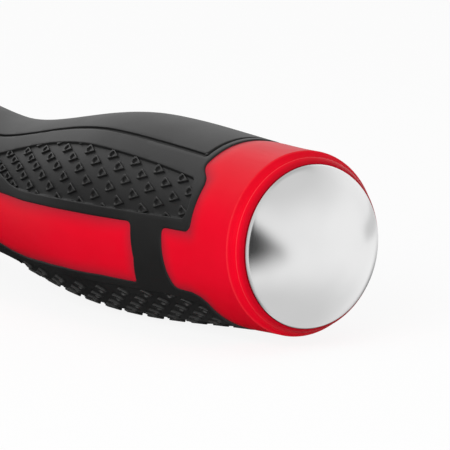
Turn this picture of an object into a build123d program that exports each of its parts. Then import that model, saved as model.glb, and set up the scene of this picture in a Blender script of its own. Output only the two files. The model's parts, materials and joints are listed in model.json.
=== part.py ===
"""Bevel-edge chisel with a moulded two-component handle and a steel strike cap.

The tool axis runs along X, with the strike cap at +X and the cutting edge at -X. +Z is up:
the blade's bevel faces up and its flat back faces down. The origin is at the middle of the
tool's length, on the surface that the handle's belly lies on. All sizes are in millimetres.
"""
import os
from math import radians, tan

from build123d import *

# Handle outline. A station is a distance from the cap's rim towards the blade, and a radius
# is measured from the tool axis, up to the handle's top line or down to its bottom line.
rim_station = 4.0
rim_radius = 16.85
belly_station = 48.0
belly_radius = 18.95
top_waist_station = 93.0
top_waist_radius = 13.6
bottom_waist_station = 106.0
bottom_waist_radius = 12.3
guard_station = 122.0
top_guard_radius = 16.4
bottom_guard_radius = 15.2
nose_station = 134.0
nose_radius = 13.4
section_count = 22
rest_flat_depth = 0.9

# Rubber grip over the hard core.
rubber_thickness = 2.4
window_step = 0.35
groove_depth = 0.5
groove_width = 0.8
panel_depth = 0.9

# Edge between the red collar and the rubber, seen from the side.
collar_station = 14.5
collar_top_station = 17.5
collar_top_height = 12.6
collar_step_rise = 1.6
tongue_station = 22.0
tongue_top = 2.3
tongue_bottom = -9.4
rubber_corner = 1.3
nose_ring_station = 127.0

# Side windows, where the core shows through the rubber.
strap_width = 9.2
window_end_station = 97.0
window_end_rise = 3.2

# Textured side panels, seen from the side.
panel_butt_station = 17.2
panel_butt_top = 11.3
panel_crown_station = 52.0
panel_crown_top = 13.9
panel_front_station = 89.0
panel_front_top = 7.8
panel_border = 2.3
panel_corner = 1.1

# Thumb panel on the top, seen from above.
thumb_butt_station = 19.6
thumb_half_width = 9.1
thumb_waist_half_width = 7.2
thumb_front_station = 119.0

# Strike cap.
cap_radius = 15.0
cap_dome_height = 6.9
cap_edge_round = 0.35
cap_proud = 0.35
cap_skirt = 4.85
cap_boss_radius = 9.0
cap_boss_length = 14.0
cap_gap = 0.15

# Butt end of the collar, around the cap.
lip_width = 0.2
lip_crest_station = 1.1
lip_crest_radius = 16.25
lip_crown = 0.22
cove_end_station = 2.65
cove_end_radius = 16.65
cove_hollow = 0.14

# Front ferrule.
ferrule_length = 9.0
ferrule_wall = 1.6
ferrule_set_in = 0.5
ferrule_chamfer = 0.6

# Forged blade.
tang_width = 10.0
tang_engagement = 12.0
bolster_radius = 12.2
bolster_thickness = 5.0
bolster_round = 1.2
neck_radius = 6.2
neck_length = 34.0
neck_waist_length = 15.0
neck_waist_width = 11.5
neck_waist_height = 9.0
neck_corner_share = 0.98
heel_lap = 2.0
blade_width = 25.0
blade_length = 104.0
blade_heel_thickness = 5.6
blade_toe_thickness = 3.8
blade_back_drop = 2.2
edge_angle = 25.0
side_bevel_width = 4.2
side_bevel_land = 1.3

fit_clearance = 0.05

# Places that follow from the sizes above.
ferrule_station = nose_station + ferrule_length
bolster_front_station = ferrule_station + bolster_thickness
blade_heel_station = bolster_front_station + neck_length
blade_tip_station = blade_heel_station + blade_length
overall_length = cap_dome_height + blade_tip_station
butt_x = overall_length / 2 - cap_dome_height
axis_z = belly_radius
axis_line = Axis((0, 0, axis_z), (1, 0, 0))
side_plane = Plane(origin=(butt_x, 0, axis_z), x_dir=(-1, 0, 0), z_dir=(0, 1, 0))
top_plane = Plane(origin=(butt_x, 0, axis_z), x_dir=(-1, 0, 0), z_dir=(0, 0, 1))
reach = 2 * belly_radius


def eased(station, knots):
    """Radius at a station on a line that levels out at each knot (station, radius)."""
    for (start, first), (end, last) in zip(knots, knots[1:]):
        if station <= end:
            share = max(0.0, (station - start) / (end - start))
            return first + (last - first) * (3 * share**2 - 2 * share**3)
    return knots[-1][1]


top_line = [
    (rim_station, rim_radius),
    (belly_station, belly_radius),
    (top_waist_station, top_waist_radius),
    (guard_station, top_guard_radius),
    (nose_station, nose_radius),
]
bottom_line = [
    (rim_station, rim_radius),
    (belly_station, belly_radius),
    (bottom_waist_station, bottom_waist_radius),
    (guard_station, bottom_guard_radius),
    (nose_station, nose_radius),
]


def section_plane(station, rise=0.0):
    """Plane across the tool axis at a station, facing the blade, raised above the axis."""
    return Plane(origin=(butt_x - station, 0, axis_z + rise), x_dir=(0, -1, 0), z_dir=(-1, 0, 0))


def handle_body(inset):
    """Solid of the whole handle from rim to nose, with its surface drawn in by inset."""
    with BuildPart() as body:
        for index in range(section_count + 1):
            station = rim_station + (nose_station - rim_station) * index / section_count
            top = eased(station, top_line)
            bottom = eased(station, bottom_line)
            with BuildSketch(section_plane(station, (top - bottom) / 2)):
                Circle((top + bottom) / 2 - inset)
        loft()
    return body.part


# The guard is flattened underneath, in line with the belly's lowest point, against rolling.
rest_slope = (belly_radius - bottom_guard_radius + rest_flat_depth) / (guard_station - belly_station)
waist_flat_height = rest_slope * (bottom_waist_station - belly_station) - belly_radius
nose_flat_height = rest_slope * (nose_station - belly_station) - belly_radius
with BuildPart() as rest_flat_zone:
    with BuildSketch(side_plane):
        Polygon(
            (bottom_waist_station, waist_flat_height),
            (nose_station, nose_flat_height),
            (nose_station, -reach),
            (bottom_waist_station, -reach),
            align=None,
        )
    extrude(amount=reach, both=True)


def widest_rings(piece):
    """Circular edges of the largest radius that run round the tool axis."""
    rings = piece.edges().filter_by(GeomType.CIRCLE).filter_by(Plane.YZ)
    return rings.group_by(SortBy.RADIUS)[-1]


# Red hard zones and rubber details, each as a prism across the handle.
with BuildPart() as butt_zone:
    with BuildSketch(side_plane):
        with BuildLine():
            outline = FilletPolyline(
                (collar_top_station, reach),
                (collar_top_station, collar_top_height + collar_step_rise),
                (collar_station, collar_top_height - collar_step_rise),
                (collar_station, tongue_top),
                (tongue_station, tongue_top),
                (tongue_station, tongue_bottom),
                (collar_station, tongue_bottom),
                (collar_station, -reach),
                radius=rubber_corner,
            )
            Polyline(outline @ 1, (0, -reach), (0, reach), outline @ 0)
        make_face()
    extrude(amount=reach, both=True)

with BuildPart() as nose_zone:
    with BuildSketch(section_plane(nose_ring_station)):
        Circle(reach)
    extrude(amount=nose_station - nose_ring_station + reach)

strap_station = tongue_station + strap_width
with BuildPart() as window_zone:
    with BuildSketch(side_plane):
        with BuildLine():
            FilletPolyline(
                (strap_station, tongue_top),
                (window_end_station, tongue_top),
                (window_end_station - window_end_rise, tongue_bottom),
                (strap_station, tongue_bottom),
                radius=rubber_corner,
                close=True,
            )
        make_face()
    extrude(amount=reach, both=True)

panel_bottom = tongue_top + panel_border
with BuildPart() as side_panel_zone:
    with BuildSketch(side_plane):
        with BuildLine():
            crown = Spline(
                (panel_butt_station, panel_butt_top),
                (panel_crown_station, panel_crown_top),
                (panel_front_station, panel_front_top),
            )
            Polyline(
                crown @ 1,
                (panel_front_station, panel_bottom),
                (panel_butt_station, panel_bottom),
                crown @ 0,
            )
        make_face()
    extrude(amount=reach, both=True)
    fillet(side_panel_zone.edges().filter_by(Axis.Y), panel_corner)


def thumb_panel(inset):
    """Face of the thumb panel seen from above, with its outline drawn in by inset."""
    butt = thumb_butt_station + inset
    front = thumb_front_station - inset
    with BuildSketch(top_plane) as panel:
        with BuildLine():
            edge = Spline(
                (butt, thumb_half_width - inset),
                (belly_station, thumb_half_width - inset),
                (top_waist_station, thumb_waist_half_width - inset),
                (front, thumb_half_width - inset),
            )
            mirror(edge, about=Plane.XZ)
            Line((butt, inset - thumb_half_width), (butt, thumb_half_width - inset))
            Line((front, inset - thumb_half_width), (front, thumb_half_width - inset))
        make_face()
    return panel.sketch


with BuildPart() as thumb_groove_zone:
    extrude(thumb_panel(0), amount=reach)
    extrude(thumb_panel(groove_width), amount=reach, mode=Mode.SUBTRACT)


def blade_section(station, thickness):
    """Six-sided section of the bevel-edge blade, standing on the plane of its flat back."""
    side = blade_width / 2
    crest = side - side_bevel_width
    with BuildSketch(section_plane(station, -blade_back_drop)) as section:
        Polygon(
            (-side, 0), (side, 0), (side, side_bevel_land), (crest, thickness),
            (-crest, thickness), (-side, side_bevel_land),
            align=None,
        )
    return section.sketch


def neck_section(station, width, height, rise):
    """Rounded section of the neck, with its middle raised above the tool axis."""
    with BuildSketch(section_plane(station, rise)) as section:
        RectangleRounded(width, height, height / 2 * neck_corner_share)
    return section.sketch


# Blade, neck, bolster and tang are one forging.
neck_waist_station = bolster_front_station + neck_waist_length
heel_rise = blade_heel_thickness / 2 - blade_back_drop
cap_seat_station = cap_proud + cap_skirt
boss_end_station = cap_seat_station + cap_boss_length
tang_end_station = boss_end_station - tang_engagement
with BuildPart() as blade:
    loft([
        blade_section(blade_heel_station - heel_lap, blade_heel_thickness),
        blade_section(blade_tip_station, blade_toe_thickness),
    ])
    with BuildSketch(side_plane):
        cut_top = 2 * blade_toe_thickness - blade_back_drop
        bevel_run = 2 * blade_toe_thickness / tan(radians(edge_angle))
        Polygon(
            (blade_tip_station, -blade_back_drop),
            (blade_tip_station - bevel_run, cut_top),
            (blade_tip_station + bevel_run, cut_top),
            align=None,
        )
    extrude(amount=blade_width, both=True, mode=Mode.SUBTRACT)
    loft([
        neck_section(bolster_front_station, 2 * neck_radius, 2 * neck_radius, 0),
        neck_section(neck_waist_station, neck_waist_width, neck_waist_height, 0),
        neck_section(blade_heel_station, blade_width, blade_heel_thickness, heel_rise),
    ])
    with BuildSketch(section_plane(ferrule_station)):
        Circle(bolster_radius)
    extrude(amount=bolster_thickness)
    fillet(widest_rings(blade), bolster_round)
    with BuildSketch(section_plane(tang_end_station)):
        RegularPolygon(tang_width / 2, 6, major_radius=False)
    extrude(amount=ferrule_station - tang_end_station)

# Hard core: butt collar, nose ring and window islands stand up through the rubber.
outer_body = handle_body(0) - rest_flat_zone.part
inner_body = handle_body(rubber_thickness)
pocket_radius = cap_radius + cap_gap
lip_radius = pocket_radius + lip_width
spigot_radius = nose_radius - ferrule_set_in - ferrule_wall
with BuildPart() as core:
    add(inner_body)
    add(outer_body & butt_zone.part)
    add(outer_body & nose_zone.part)
    add(handle_body(window_step) & window_zone.part)
    with BuildSketch(side_plane):
        with BuildLine():
            lip = SagittaArc(
                (cap_proud, lip_radius),
                (lip_crest_station, lip_crest_radius),
                lip_crown,
            )
            cove = SagittaArc(lip @ 1, (cove_end_station, cove_end_radius), -cove_hollow)
            shoulder = SagittaArc(cove @ 1, (rim_station, rim_radius), rim_radius - cove_end_radius)
            Polyline(shoulder @ 1, (rim_station, 0), (cap_proud, 0), lip @ 0)
        make_face()
    revolve(axis=axis_line)

    with BuildSketch(section_plane(nose_station)):
        Circle(spigot_radius)
    extrude(amount=ferrule_length)
    with BuildSketch(section_plane(cap_seat_station)):
        Circle(pocket_radius)
    extrude(amount=-cap_seat_station, mode=Mode.SUBTRACT)
    with BuildSketch(section_plane(boss_end_station)):
        Circle(cap_boss_radius + fit_clearance)
    extrude(amount=-boss_end_station, mode=Mode.SUBTRACT)
    with BuildSketch(section_plane(boss_end_station)):
        RegularPolygon(tang_width / 2 + fit_clearance, 6, major_radius=False)
    extrude(amount=ferrule_station - boss_end_station, mode=Mode.SUBTRACT)

# Rubber grip, moulded over the core.
with BuildPart() as grip:
    add(outer_body)
    add(inner_body, mode=Mode.SUBTRACT)
    for zone in (butt_zone, nose_zone, window_zone):
        add(zone.part, mode=Mode.SUBTRACT)
    add(side_panel_zone.part - handle_body(panel_depth), mode=Mode.SUBTRACT)
    add(thumb_groove_zone.part - handle_body(groove_depth), mode=Mode.SUBTRACT)

# Strike cap: domed head, bright rim and a boss that is pressed onto the tang.
with BuildPart() as strike_cap:
    with BuildSketch(side_plane):
        with BuildLine():
            dome = TangentArc((-cap_dome_height, 0), (0, cap_radius), tangent=(0, 1))
            Polyline(
                dome @ 1,
                (cap_seat_station, cap_radius),
                (cap_seat_station, cap_boss_radius),
                (boss_end_station, cap_boss_radius),
                (boss_end_station, 0),
                dome @ 0,
            )
        make_face()
    revolve(axis=axis_line)
    fillet(widest_rings(strike_cap), cap_edge_round)
    with BuildSketch(section_plane(boss_end_station)):
        RegularPolygon(tang_width / 2 + fit_clearance, 6, major_radius=False)
    extrude(amount=tang_end_station - fit_clearance - boss_end_station, mode=Mode.SUBTRACT)

# Ferrule: steel ring round the core's spigot, with the bolster seated on its end.
with BuildPart() as ferrule:
    with BuildSketch(section_plane(nose_station)):
        Circle(spigot_radius + ferrule_wall)
        Circle(spigot_radius + fit_clearance, mode=Mode.SUBTRACT)
    extrude(amount=ferrule_length)
    chamfer(widest_rings(ferrule), ferrule_chamfer)

os.makedirs("parts", exist_ok=True)
for name, piece in {
    "blade": blade,
    "ferrule": ferrule,
    "handle_core": core,
    "rubber_grip": grip,
    "strike_cap": strike_cap,
}.items():
    piece.part.label = name
    export_step(piece.part, f"parts/{name}.step")
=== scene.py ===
"""Dressed model of a struck bevel-edge chisel with a two-part handle and a domed steel strike cap.

The handle is worked flat and then wrapped: a skin is cut, sunk and softened as a flat sheet whose first
axis is the station along the tool, whose second axis is the turn round it and whose third axis is the
height over the surface, all in millimetres. Wrapping carries every vertex to its place on the handle.
"""

import json
import logging
import math
from dataclasses import dataclass
from enum import Enum
from typing import Sequence

import bmesh
import bpy
import numpy as np
from mathutils import Matrix, Vector

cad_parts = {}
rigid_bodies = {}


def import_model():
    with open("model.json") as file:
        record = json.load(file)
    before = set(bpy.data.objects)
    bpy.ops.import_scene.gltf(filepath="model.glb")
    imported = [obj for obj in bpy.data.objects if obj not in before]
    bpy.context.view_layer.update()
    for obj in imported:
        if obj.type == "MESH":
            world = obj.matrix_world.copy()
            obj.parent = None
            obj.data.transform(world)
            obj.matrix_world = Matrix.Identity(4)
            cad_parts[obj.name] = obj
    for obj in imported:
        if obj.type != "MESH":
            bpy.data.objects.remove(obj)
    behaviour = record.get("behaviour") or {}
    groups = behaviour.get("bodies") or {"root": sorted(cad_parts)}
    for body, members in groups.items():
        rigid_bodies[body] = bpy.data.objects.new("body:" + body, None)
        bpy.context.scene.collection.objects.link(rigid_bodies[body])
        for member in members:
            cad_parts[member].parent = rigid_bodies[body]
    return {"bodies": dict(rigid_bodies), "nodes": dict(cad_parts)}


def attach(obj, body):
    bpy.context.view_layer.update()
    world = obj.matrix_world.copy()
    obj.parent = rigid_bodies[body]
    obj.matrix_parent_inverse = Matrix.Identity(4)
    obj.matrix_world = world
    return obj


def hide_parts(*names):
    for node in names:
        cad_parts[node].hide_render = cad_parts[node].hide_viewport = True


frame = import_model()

log = logging.getLogger("chisel")

Pair = tuple[float, float]
Pairs = tuple[Pair, ...]
Triple = tuple[float, float, float]
Colour = tuple[float, float, float, float]

MM = 0.001  # one millimetre in metres
BOTTOM = -90.0  # angle of the handle's bottom line, in degrees
TOP = 90.0  # angle of its top line
SHEET_REACH = 98.0  # angle that a flat half reaches past both lines before it is trimmed
TOOL_REACH = 110.0  # angle that the shapes which work on it reach
PAST = 6.0  # how far cutting shapes reach past the skin, in mm
BEFORE_BUTT = -5.0  # station where shapes that run out over the butt end, in mm
CORNER_FACETS = 5  # facets in the rounding of an outline's corner
FLAT_WELD = 0.001  # how near vertices are welded while a piece is flat or being turned, in mm
WELD = 2e-6  # how near they are welded when it is in place, in metres
PAINTED_LIGHT_MARK = "edge"  # mesh attribute for painted light: on the red core it says how near a pad's edge a vertex is, for a painted edge sheen; on the grip scales it marks the upward-facing rims for a painted highlight


class Slot(Enum):
    """The record's material slots, named in the log for the pieces made here."""

    FERRULE = "ferrule_steel"
    CORE = "red_plastic"
    GRIP = "black_rubber"
    CAP = "cap_steel"


class Cut(Enum):
    """Ways in which one shape works on another."""

    AWAY = "DIFFERENCE"
    JOINED = "UNION"
    SHARED = "INTERSECT"


class Pick(Enum):
    """What is selected in edit mode."""

    CORNERS = "VERT"
    EDGES = "EDGE"
    FACES = "FACE"


class Side(Enum):
    """Sides of the handle."""

    NEAR = "near"
    FAR = "far"


@dataclass(frozen=True)
class Corner:
    """An outline's corner: station in mm, angle in degrees above the side, and rounding in mm."""

    station: float
    angle: float
    rounding: float = 0.0


def outline(*corners: tuple[float, ...]) -> tuple[Corner, ...]:
    """Corners of an outline, each given as station, angle and, where it is rounded, rounding."""
    return tuple(Corner(*corner) for corner in corners)


def strip(start: float, end: float, reach: float) -> tuple[Corner, ...]:
    """Outline of a strip round the near half of the handle, from station to station."""
    return outline((start, reach), (end, reach), (end, -reach), (start, -reach))


def folded(edge: Sequence[Corner], line: float) -> tuple[Corner, ...]:
    """Closes an edge to an outline with its mirror image.

    Args:
        edge: the edge's corners in order.
        line: angle of the line that it is mirrored over.

    Returns:
        The corners of the edge and of its image, with a corner on the line taken once.
    """
    off = [corner for corner in reversed(edge) if corner.angle != line]
    return (*edge, *(Corner(corner.station, 2 * line - corner.angle, corner.rounding) for corner in off))


@dataclass(frozen=True)
class HandleSkin:
    """The handle's outer surface, and the flat sheet that is wrapped onto it.

    Stations run in mm from the plane of the cap's rim towards the blade. Angles run in degrees from the
    near side up to the thumb panel. The top, bottom and lip lines are pairs of station and radius.

    The lip sags with the cap, fully inside the smaller radius of sag_line and not at all outside the
    larger. The underside swells past its line by the share that swell_line gives for each station,
    between the sines of swell_turn. From rest_start on, a flat underneath is what the tool rests on.
    """

    butt: float = 139.55
    axis_height: float = 18.95
    turn_scale: float = 0.32
    top_line: Pairs = ((4.0, 16.85), (48.0, 18.95), (93.0, 13.6), (122.0, 16.4), (134.0, 13.4))
    bottom_line: Pairs = ((4.0, 16.85), (48.0, 18.95), (106.0, 12.3), (122.0, 15.2), (134.0, 13.4))
    lip_line: Pairs = (
        (0.3, 14.97), (0.36, 15.14), (0.5, 15.32), (0.8, 15.54), (1.15, 15.74), (1.46, 15.88),
        (1.56, 15.91), (1.64, 15.85), (1.74, 15.68), (1.92, 15.62), (2.15, 15.74), (2.45, 16.02),
        (2.75, 16.36), (2.95, 16.68), (3.04, 16.8), (3.12, 16.86), (3.25, 16.87), (4.2, 16.86),
    )
    sag: float = 0.2
    sag_line: Pair = (15.5, 16.3)
    sag_end: float = 7.0
    swell: float = 0.5
    swell_line: Pairs = ((48.0, 0.0), (72.0, 1.0), (79.0, 1.0), (84.0, 0.0))
    swell_turn: Pair = (0.72, 0.88)
    rest_start: float = 106.0
    rest_depth: float = 0.9

    def flat(self, station: float, angle: float, height: float = 0.0) -> Vector:
        """The place on the flat sheet of a point given by station, angle and height."""
        return Vector((station, (angle - TOP) * self.turn_scale, height))

    @staticmethod
    def eased(stations: np.ndarray, knots: Pairs) -> np.ndarray:
        """Height of an eased line between its knots.

        Args:
            stations: where the line is read, in mm.
            knots: pairs of station and height.

        Returns:
            The height at each station, in mm.
        """
        height = np.full(stations.shape, knots[-1][1])
        for (start, low), (end, high) in reversed(list(zip(knots, knots[1:]))):
            share = np.clip((stations - start) / (end - start), 0, 1)
            height = np.where(stations <= end, low + (high - low) * share**2 * (3 - 2 * share), height)
        return height

    def wrapped(self, points: np.ndarray) -> np.ndarray:
        """Carries points of the flat sheet to the handle.

        Args:
            points: rows of station, turn and height, in mm.

        Returns:
            Rows of x, y and z in the tool's frame, in metres.
        """
        station, turn, height = points.T
        top, bottom = self.eased(station, self.top_line), self.eased(station, self.bottom_line)
        radius, rise = (top + bottom) / 2, (top - bottom) / 2
        lip_stations, lip_radii = zip(*self.lip_line)
        lip = np.interp(station, lip_stations, lip_radii) - radius
        height = np.where(station < lip_stations[-1], np.minimum(height, lip), height)
        angle = np.radians(turn / self.turn_scale + TOP)
        start, full = self.swell_turn
        under = np.clip((-np.sin(angle) - start) / (full - start), 0, 1)
        height = height + self.swell * self.eased(station, self.swell_line) * under
        across = -(radius + height) * np.cos(angle)
        low, high = self.sag_line
        sunk = np.clip((high - radius - height) / (high - low), 0, 1)
        up = rise + (radius + height) * np.sin(angle) - np.where(station < self.sag_end, self.sag * sunk, 0)
        up = np.where(station > self.rest_start, np.maximum(up, self.rest_line(station)), up)
        return np.column_stack((self.butt - station, across, self.axis_height + up)) * MM

    def rest_line(self, station: np.ndarray) -> np.ndarray:
        """Height over the axis of the flat that the tool rests on.

        Args:
            station: where the flat is read, in mm.

        Returns:
            The height at each station, in mm.
        """
        belly_station, belly_radius = self.bottom_line[1]
        guard_station, guard_radius = self.bottom_line[3]
        slope = (belly_radius - guard_radius + self.rest_depth) / (guard_station - belly_station)
        return slope * (station - belly_station) - belly_radius


SKIN = HandleSkin()
BUTT_CENTRE: Triple = (SKIN.butt, 0.0, SKIN.axis_height)


class Bench:
    """Modelling operators, each set to work on one piece."""

    @staticmethod
    def clear() -> None:
        """Leaves edit mode and deselects everything."""
        if bpy.context.object is not None and bpy.context.object.mode != "OBJECT":
            bpy.ops.object.mode_set(mode="OBJECT")
        bpy.ops.object.select_all(action="DESELECT")

    @staticmethod
    def take(piece: bpy.types.Object) -> None:
        """Makes a piece the only selected and the active one.

        Args:
            piece: the piece to work on.
        """
        Bench.clear()
        piece.select_set(True)
        bpy.context.view_layer.objects.active = piece

    @staticmethod
    def edit(piece: bpy.types.Object, kind: Pick = Pick.FACES) -> None:
        """Opens a piece for editing with nothing selected.

        Args:
            piece: the piece to edit.
            kind: what is going to be selected.
        """
        Bench.take(piece)
        bpy.ops.object.mode_set(mode="EDIT")
        bpy.ops.mesh.select_mode(type=kind.value)
        bpy.ops.mesh.select_all(action="DESELECT")

    @staticmethod
    def pick_all() -> None:
        """Selects, in edit mode, the whole piece."""
        bpy.ops.mesh.select_all(action="SELECT")

    @staticmethod
    def face_out() -> None:
        """Turns, in edit mode, all faces outwards."""
        Bench.pick_all()
        bpy.ops.mesh.normals_make_consistent(inside=False)

    @staticmethod
    def modify(piece: bpy.types.Object, kind: str, **settings: object) -> None:
        """Adds a modifier to a piece and applies it.

        Args:
            piece: the piece.
            kind: the modifier's type.
            settings: its properties.
        """
        Bench.take(piece)
        bpy.ops.object.modifier_add(type=kind)
        step = piece.modifiers[-1]
        for name, value in settings.items():
            setattr(step, name, value)
        bpy.ops.object.modifier_apply(modifier=step.name)

    @staticmethod
    def pick_corner(piece: bpy.types.Object, place: Vector) -> None:
        """Selects, in edit mode, the vertex nearest to a place.

        Args:
            piece: the piece being edited.
            place: where to look.
        """
        bpy.ops.mesh.select_all(action="DESELECT")
        shape = bmesh.from_edit_mesh(piece.data)
        min(shape.verts, key=lambda vertex: (vertex.co - place).length).select_set(True)
        bmesh.update_edit_mesh(piece.data)

    @staticmethod
    def add_outline(name: str, points: Sequence[Vector], filled: bool = True) -> bpy.types.Object:
        """Adds a circle and lays its vertices on an outline.

        Args:
            name: the new object's name.
            points: the outline's corners in order.
            filled: whether the outline is a face or a wire.

        Returns:
            The new object.
        """
        Bench.clear()
        bpy.ops.mesh.primitive_circle_add(vertices=len(points), fill_type="NGON" if filled else "NOTHING")
        piece = bpy.context.object
        piece.name = name
        for vertex, point in zip(piece.data.vertices, points):
            vertex.co = point
        return piece

    @staticmethod
    def add_plate(
        name: str, corners: Sequence[Corner], low: float, high: float, band: float = 0.0
    ) -> bpy.types.Object:
        """Makes a plate on the flat sheet: an outline, its corners rounded, extruded to its thickness.

        Args:
            name: the new object's name.
            corners: the outline's corners in order.
            low: height of the plate's underside, in mm.
            high: height of the plate's top, in mm.
            band: where it isn't 0, only a band of this width along the outline is kept.

        Returns:
            The plate, a closed shape.
        """
        places = [SKIN.flat(corner.station, corner.angle, low) for corner in corners]
        plate = Bench.add_outline(name, places)
        Bench.edit(plate, Pick.CORNERS)
        for corner, place in zip(corners, places):
            if corner.rounding:
                Bench.pick_corner(plate, place)
                bpy.ops.mesh.bevel(offset=corner.rounding, segments=CORNER_FACETS, affect="VERTICES")
        bpy.ops.mesh.select_mode(type=Pick.FACES.value)
        Bench.pick_all()
        if band:
            bpy.ops.mesh.inset(thickness=band)
            bpy.ops.mesh.delete(type="FACE")
            Bench.pick_all()
        bpy.ops.mesh.extrude_region_move(TRANSFORM_OT_translate={"value": (0, 0, high - low)})
        Bench.face_out()
        Bench.clear()
        return plate

    @staticmethod
    def work(piece: bpy.types.Object, tool: bpy.types.Object, cut: Cut) -> None:
        """Cuts a tool shape out of a piece, joins it on or keeps what they share, and removes the tool.

        Args:
            piece: the piece.
            tool: the closed shape that works on it.
            cut: how it works.
        """
        Bench.modify(piece, "BOOLEAN", operation=cut.value, solver="MANIFOLD", object=tool)
        bpy.data.objects.remove(tool)

    @staticmethod
    def soften(piece: bpy.types.Object, width: float, segments: int, angle: float) -> None:
        """Rounds the edges of a piece that are sharper than an angle.

        Args:
            piece: the piece.
            width: how far the rounding reaches from the edge, in the piece's units.
            segments: facets across the rounding.
            angle: the least angle between the faces, in degrees.
        """
        how = {"limit_method": "ANGLE", "use_clamp_overlap": False, "miter_outer": "MITER_ARC"}
        Bench.modify(piece, "BEVEL", width=width, segments=segments, angle_limit=math.radians(angle), **how)

    @staticmethod
    def score(piece: bpy.types.Object, axis: int, places: Sequence[float]) -> None:
        """Slices a flat piece across one axis so that it bends smoothly when it is wrapped.

        Args:
            piece: the flat piece.
            axis: number of the axis that the slices cross.
            places: where they cross it.
        """
        normal = [0.0, 0.0, 0.0]
        normal[axis] = 1.0
        Bench.edit(piece)
        for place in places:
            Bench.pick_all()
            bpy.ops.mesh.bisect(plane_co=[place * part for part in normal], plane_no=normal)
        Bench.clear()

    @staticmethod
    def trim(piece: bpy.types.Object, place: Vector, normal: Vector, closed: bool = False) -> None:
        """Cuts off what lies beyond a plane.

        Args:
            piece: the piece.
            place: a point of the plane.
            normal: points to the side that is cut off.
            closed: whether the cut is closed with a face.
        """
        Bench.edit(piece)
        Bench.pick_all()
        bpy.ops.mesh.bisect(plane_co=place, plane_no=normal, clear_outer=True, use_fill=closed)
        Bench.clear()

    @staticmethod
    def mirror_over_top(piece: bpy.types.Object) -> None:
        """Adds the far half of a flat sheet and welds it along the top line."""
        Bench.modify(piece, "MIRROR", use_axis=(False, True, False), merge_threshold=FLAT_WELD)

    @staticmethod
    def settle(piece: bpy.types.Object, moved: np.ndarray, smooth: float = 35.0) -> None:
        """Puts a piece's vertices in their last place, welds its seams and turns its faces outwards.

        Args:
            piece: the piece.
            moved: the vertices' places in the tool's frame, in metres.
            smooth: edges flatter than this many degrees are shaded smooth.
        """
        piece.data.vertices.foreach_set("co", moved.astype(np.float32).ravel())
        piece.data.update()
        Bench.edit(piece, Pick.CORNERS)
        Bench.pick_all()
        bpy.ops.mesh.remove_doubles(threshold=WELD)
        Bench.face_out()
        Bench.take(piece)
        bpy.ops.object.shade_smooth_by_angle(angle=math.radians(smooth))
        Bench.clear()

    @staticmethod
    def vertices(piece: bpy.types.Object, what: str = "co") -> np.ndarray:
        """Reads a vector of each of a piece's vertices.

        Args:
            piece: the piece.
            what: co for the places or normal for the normals.

        Returns:
            One row for each vertex.
        """
        rows = np.zeros(len(piece.data.vertices) * 3)
        piece.data.vertices.foreach_get(what, rows)
        return rows.reshape(-1, 3)

    @staticmethod
    def marks(piece: bpy.types.Object) -> bpy.types.Attribute:
        """The painted-light marks of a piece, for painted highlight or painted edge sheen, added where it has
        none.
        """
        attributes = piece.data.attributes
        return attributes.get(PAINTED_LIGHT_MARK) or attributes.new(PAINTED_LIGHT_MARK, "FLOAT", "POINT")

    @staticmethod
    def wrap(piece: bpy.types.Object) -> None:
        """Carries a flat piece onto the handle."""
        Bench.settle(piece, SKIN.wrapped(Bench.vertices(piece)))

    @staticmethod
    def turn_on_lathe(name: str, profile: Sequence[Pair], steps: int, smooth: float) -> bpy.types.Object:
        """Spins a profile round the tool's axis.

        Args:
            name: the new object's name.
            profile: pairs of station and radius in mm, from one end of the open profile to the other.
            steps: facets round the axis.
            smooth: edges flatter than this many degrees are shaded smooth.

        Returns:
            The turned piece, in place.
        """
        points = [Vector((station, radius, 0)) for station, radius in profile]
        piece = Bench.add_outline(name, points, filled=False)
        Bench.edit(piece, Pick.EDGES)
        shape = bmesh.from_edit_mesh(piece.data)
        ends = {0, len(profile) - 1}
        for edge in shape.edges:
            edge.select_set({vertex.index for vertex in edge.verts} == ends)
        bmesh.update_edit_mesh(piece.data)
        bpy.ops.mesh.delete(type="EDGE")
        Bench.pick_all()
        bpy.ops.mesh.spin(steps=steps, angle=math.tau, center=(0, 0, 0), axis=(1, 0, 0))
        Bench.pick_all()
        bpy.ops.mesh.remove_doubles(threshold=FLAT_WELD)
        Bench.clear()
        turned = Bench.vertices(piece)
        placed = np.column_stack((SKIN.butt - turned[:, 0], turned[:, 1], SKIN.axis_height + turned[:, 2]))
        Bench.settle(piece, placed * MM, smooth)
        return piece


class Sheet:
    """The last steps on a flat half of the handle's skin."""

    @staticmethod
    def score(sheet: bpy.types.Object, start: float, end: float, step: float) -> None:
        """Scores a flat half both ways and trims it to the top and bottom lines.

        Args:
            sheet: the flat half.
            start: where the scores across the handle start, in mm.
            end: where they end, in mm.
            step: distance between scores, in mm.
        """
        bottom = (BOTTOM - TOP) * SKIN.turn_scale
        Bench.score(sheet, 0, np.arange(start + step / 2, end, step).tolist())
        Bench.score(sheet, 1, np.arange(bottom + step / 2, 0.0, step).tolist())
        Bench.trim(sheet, SKIN.flat(0, TOP), Vector((0, 1, 0)))
        Bench.trim(sheet, SKIN.flat(0, BOTTOM), Vector((0, -1, 0)))

    @staticmethod
    def close(sheet: bpy.types.Object) -> None:
        """Mirrors a flat half over the top line and wraps the whole round the handle."""
        Bench.mirror_over_top(sheet)
        Bench.wrap(sheet)


def hand_over(piece: bpy.types.Object, slot: Slot, finish: bpy.types.Material, *nodes: str) -> None:
    """Dresses a finished piece and fixes it to the tool's body.

    Args:
        piece: the piece, in place.
        slot: the record's material slot that it is logged under.
        finish: its material.
        nodes: the CAD nodes that it stands for.
    """
    piece.data.materials.clear()
    piece.data.materials.append(finish)
    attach(piece, "root")
    if nodes:
        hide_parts(*nodes)
    triangles = sum(len(face.vertices) - 2 for face in piece.data.polygons)
    log.info("%s: %d triangles, slot %s, stands for %s", piece.name, triangles, slot.value, nodes or "detail")


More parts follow.
